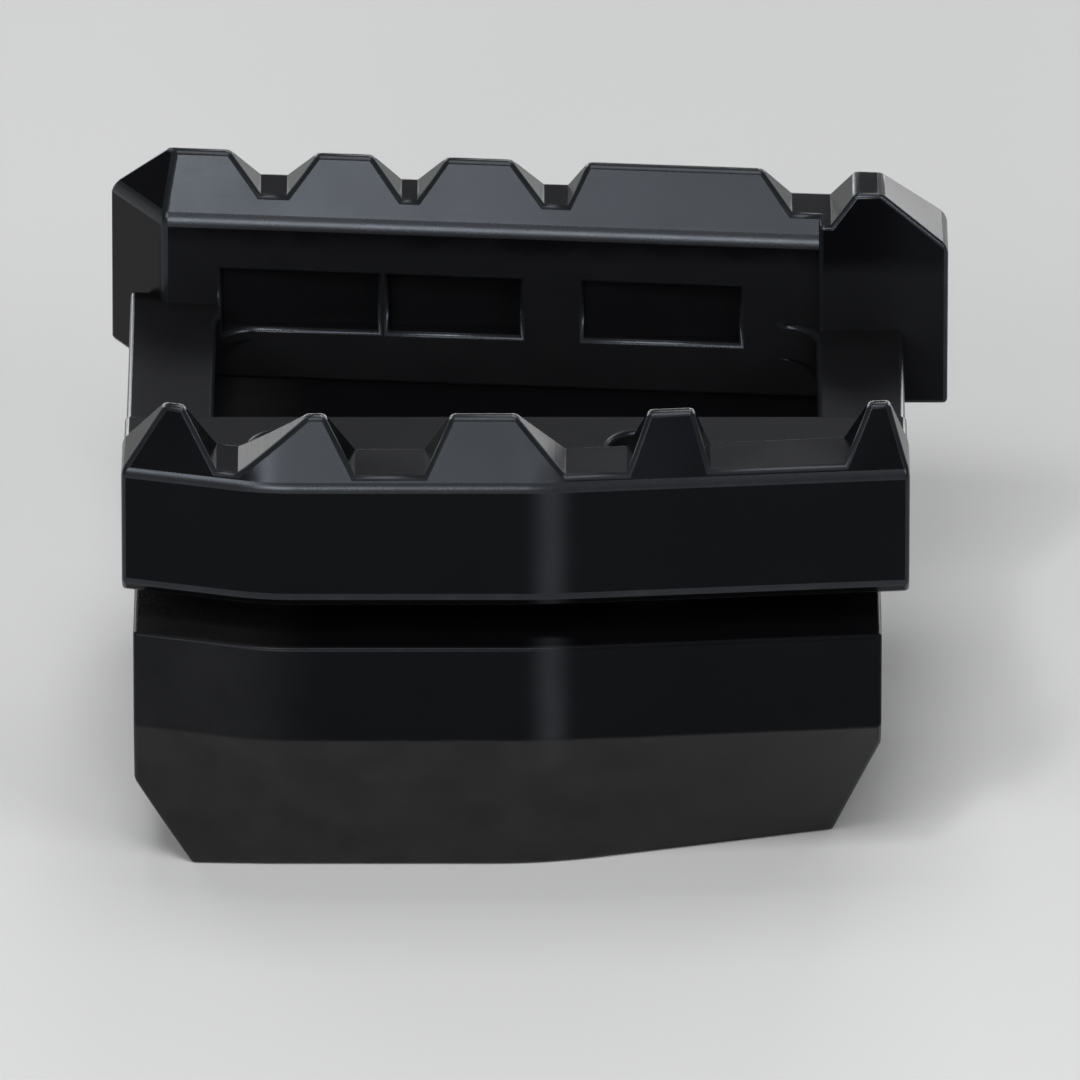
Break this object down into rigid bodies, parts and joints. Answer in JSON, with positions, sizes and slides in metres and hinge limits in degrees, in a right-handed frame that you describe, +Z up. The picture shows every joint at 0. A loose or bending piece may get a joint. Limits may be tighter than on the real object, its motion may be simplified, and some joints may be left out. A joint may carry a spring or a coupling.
{
  "type": "brake pedal extension",
  "caption": "Toothed tread frame with a hull-shaped clamp block below it, screwed together around the tip of a foot brake pedal to give the boot a wider grip.",
  "frame": {"origin": "centre of the overall box in plan, on the flat underside of the clamp block", "axes": "+X forward along the bike, +Y inboard towards the bike, +Z up out of the tread"},
  "size_m": [0.063, 0.057, 0.0379],
  "materials": {
    "black_anodised": "satin black anodised",
    "screw_steel": "plain stainless"
  },
  "bodies": {
    "root": {"tread_frame": "black_anodised", "clamp_block": "black_anodised", "clamp_screws": "screw_steel"}
  },
  "joints": []
}
